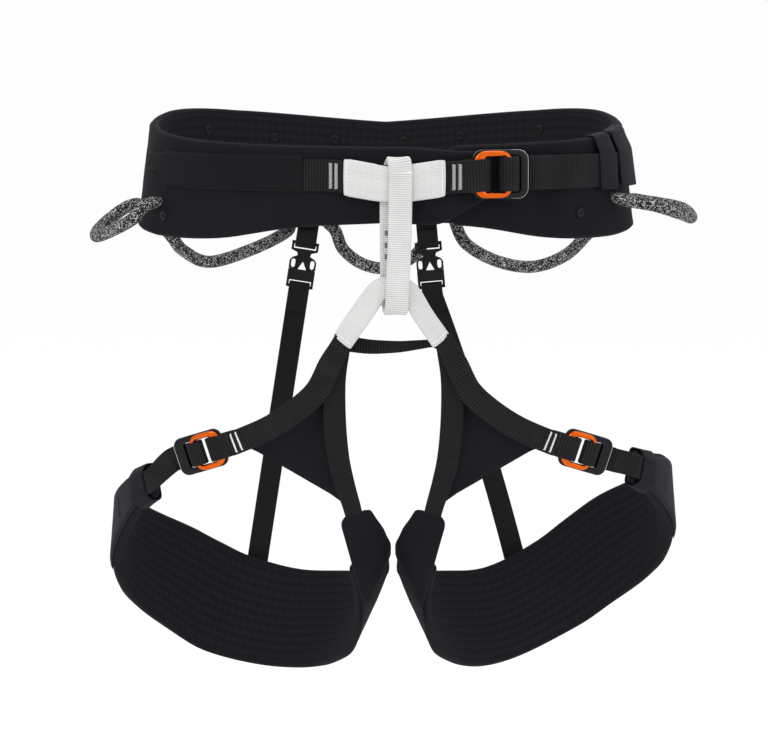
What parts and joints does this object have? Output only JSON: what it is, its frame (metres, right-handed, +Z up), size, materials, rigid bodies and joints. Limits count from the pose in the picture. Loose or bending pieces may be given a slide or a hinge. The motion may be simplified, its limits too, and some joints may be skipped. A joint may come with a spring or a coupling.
{
  "type": "climbing harness",
  "caption": "Adjustable sit harness: padded waist belt with tie-in points and belay loop, two leg loops on rear risers, double-back buckles and gear loops.",
  "frame": {"origin": "centre of the waist ring at the height of the waist webbing at the front", "axes": "+Z up, -Y the front where the belay loop hangs, +X to the right of someone facing the front"},
  "size_m": [0.4221, 0.2599, 0.4042],
  "materials": {
    "softshell": "soft matte shell fabric",
    "quilted_lining": "quilted mesh lining",
    "foam": "closed cell foam",
    "black_webbing": "ribbed woven webbing",
    "elastic": "smooth elastic",
    "white_webbing": "white woven webbing",
    "orange_anodised": "orange anodised",
    "black_anodised": "black anodised, polished edge",
    "black_plastic": "moulded",
    "speckled_sheath": "speckled rope sheath"
  },
  "bodies": {
    "waist_belt": {"belt_stud_front_left": "black_plastic", "belt_stud_front_right": "black_plastic", "belt_stud_rear_1": "black_plastic", "belt_stud_rear_2": "black_plastic", "belt_stud_rear_3": "black_plastic", "belt_stud_rear_4": "black_plastic", "belt_stud_rear_5": "black_plastic", "belt_stud_rear_6": "black_plastic", "tie_in_upper_sleeve": "white_webbing", "waist_belt_foam": "foam", "waist_belt_lining": "quilted_lining", "waist_belt_shell": "softshell", "waist_keeper": "elastic", "waist_tail_pocket": "elastic", "waist_webbing_adjust": "black_webbing", "waist_webbing_cover": "softshell", "waist_webbing_fixed": "black_webbing"},
    "waist_buckle": {"waist_buckle_inner_frame": "orange_anodised", "waist_buckle_outer_frame": "black_anodised"},
    "belay_loop": {"belay_loop": "white_webbing"},
    "leg_bridge": {"tie_in_lower_sleeve": "white_webbing", "leg_bridge_strap": "black_webbing"},
    "gear_loop_front_left": {"gear_loop_front_left": "speckled_sheath"},
    "gear_loop_front_right": {"gear_loop_front_right": "speckled_sheath"},
    "gear_loop_rear_left": {"gear_loop_rear_left": "speckled_sheath"},
    "gear_loop_rear_right": {"gear_loop_rear_right": "speckled_sheath"},
    "haul_loop": {"haul_loop": "speckled_sheath"},
    "leg_left": {"crotch_sleeve_left": "softshell", "leg_gusset_left": "softshell", "leg_keeper_left": "elastic", "leg_pad_foam_left": "foam", "leg_pad_lining_left": "quilted_lining", "leg_pad_shell_left": "softshell", "leg_tail_pocket_left": "elastic", "leg_webbing_adjust_left": "black_webbing", "leg_webbing_front_left": "black_webbing", "leg_webbing_inner_left": "black_webbing"},
    "leg_buckle_left": {"leg_buckle_left_inner_frame": "orange_anodised", "leg_buckle_left_outer_frame": "black_anodised"},
    "riser_left": {"riser_tab_left": "black_webbing", "riser_buckle_male_left": "black_plastic"},
    "riser_lower_left": {"riser_buckle_female_left": "black_plastic", "riser_strap_left": "elastic"},
    "leg_right": {"crotch_sleeve_right": "softshell", "leg_gusset_right": "softshell", "leg_keeper_right": "elastic", "leg_pad_foam_right": "foam", "leg_pad_lining_right": "quilted_lining", "leg_pad_shell_right": "softshell", "leg_tail_pocket_right": "elastic", "leg_webbing_adjust_right": "black_webbing", "leg_webbing_front_right": "black_webbing", "leg_webbing_inner_right": "black_webbing"},
    "leg_buckle_right": {"leg_buckle_right_inner_frame": "orange_anodised", "leg_buckle_right_outer_frame": "black_anodised"},
    "riser_right": {"riser_tab_right": "black_webbing", "riser_buckle_male_right": "black_plastic"},
    "riser_lower_right": {"riser_buckle_female_right": "black_plastic", "riser_strap_right": "elastic"}
  },
  "joints": [
    {"name": "belay_swing", "type": "hinge", "parent": "waist_belt", "child": "belay_loop", "pos_m": [0.0012, -0.1184, -0.002], "axis": [-1, 0, 0], "range_deg": [0, 40], "deforming": ["belay_loop"]},
    {"name": "leg_bridge_level", "type": "hinge", "parent": "belay_loop", "child": "leg_bridge", "pos_m": [0.0012, -0.1184, -0.08], "axis": [-1, 0, 0], "range_deg": [-40, 0]},
    {"name": "waist_buckle_tilt", "type": "hinge", "parent": "waist_belt", "child": "waist_buckle", "pos_m": [0.05703, -0.11342, 0.00251], "axis": [0, 0, -1], "range_deg": [0, 25], "deforming": ["waist_webbing_fixed", "waist_webbing_adjust"]},
    {"name": "leg_buckle_left_tilt", "type": "hinge", "parent": "leg_left", "child": "leg_buckle_left", "pos_m": [-0.1186, -0.08532, -0.18479], "axis": [-0.3106, 0.018, 0.9504], "range_deg": [0, 25], "deforming": ["leg_webbing_adjust_left"]},
    {"name": "leg_left_swing", "type": "hinge", "parent": "leg_bridge", "child": "leg_left", "pos_m": [-0.06695, -0.00525, -0.20025], "axis": [-0.2396, 0.7158, -0.656], "range_deg": [0, 25], "deforming": ["leg_webbing_front_left", "leg_webbing_inner_left"]},
    {"name": "riser_left_swing", "type": "hinge", "parent": "waist_belt", "child": "riser_left", "pos_m": [-0.061, 0.108, -0.0485], "axis": [-1, 0, 0], "range_deg": [0, 18]},
    {"name": "riser_left_release", "type": "slide", "parent": "riser_left", "child": "riser_lower_left", "axis": [-0.1514, -0.0697, -0.986], "range_m": [0, 0.03], "deforming": ["riser_strap_left"]},
    {"name": "leg_buckle_right_tilt", "type": "hinge", "parent": "leg_right", "child": "leg_buckle_right", "pos_m": [0.1186, -0.08532, -0.18479], "axis": [-0.3106, -0.018, -0.9504], "range_deg": [0, 25], "deforming": ["leg_webbing_adjust_right"]},
    {"name": "leg_right_swing", "type": "hinge", "parent": "leg_bridge", "child": "leg_right", "pos_m": [0.06195, -0.00425, -0.20025], "axis": [-0.2028, -0.7253, 0.6579], "range_deg": [0, 25], "deforming": ["leg_webbing_front_right", "leg_webbing_inner_right"]},
    {"name": "riser_right_swing", "type": "hinge", "parent": "waist_belt", "child": "riser_right", "pos_m": [0.0245, 0.108, -0.0485], "axis": [-1, 0, 0], "range_deg": [0, 18]},
    {"name": "riser_right_release", "type": "slide", "parent": "riser_right", "child": "riser_lower_right", "axis": [0.0865, -0.0638, -0.9942], "range_m": [0, 0.03], "deforming": ["riser_strap_right"]},
    {"name": "gear_loop_front_left_swing", "type": "hinge", "parent": "waist_belt", "child": "gear_loop_front_left", "pos_m": [-0.16949, -0.01571, -0.023], "axis": [-0.2067, 0.9748, -0.0844], "range_deg": [-12, 30], "stiffness_Nm_per_rad": 0.25},
    {"name": "gear_loop_front_right_swing", "type": "hinge", "parent": "waist_belt", "child": "gear_loop_front_right", "pos_m": [0.15974, -0.0148, -0.0195], "axis": [-0.1916, -0.9788, 0.0725], "range_deg": [-12, 30], "stiffness_Nm_per_rad": 0.25},
    {"name": "gear_loop_rear_left_swing", "type": "hinge", "parent": "waist_belt", "child": "gear_loop_rear_left", "pos_m": [-0.1166, 0.0815, -0.0405], "axis": [0.8634, 0.5036, -0.0313], "range_deg": [0, 50], "stiffness_Nm_per_rad": 0.25},
    {"name": "gear_loop_rear_right_swing", "type": "hinge", "parent": "waist_belt", "child": "gear_loop_rear_right", "pos_m": [0.0924, 0.08718, -0.0405], "axis": [0.9044, -0.4257, 0.0276], "range_deg": [0, 50], "stiffness_Nm_per_rad": 0.25},
    {"name": "haul_loop_swing", "type": "hinge", "parent": "waist_belt", "child": "haul_loop", "pos_m": [-0.01349, 0.11167, -0.0405], "axis": [0.9996, 0.0268, -0.0133], "range_deg": [0, 50], "stiffness_Nm_per_rad": 0.25}
  ],
  "couplings": [
    {"joint": "leg_bridge_level", "follows": "belay_swing", "ratio": -1},
    {"joint": "riser_left_swing", "follows": "belay_swing", "ratio": 0.44},
    {"joint": "riser_right_swing", "follows": "belay_swing", "ratio": 0.44}
  ]
}
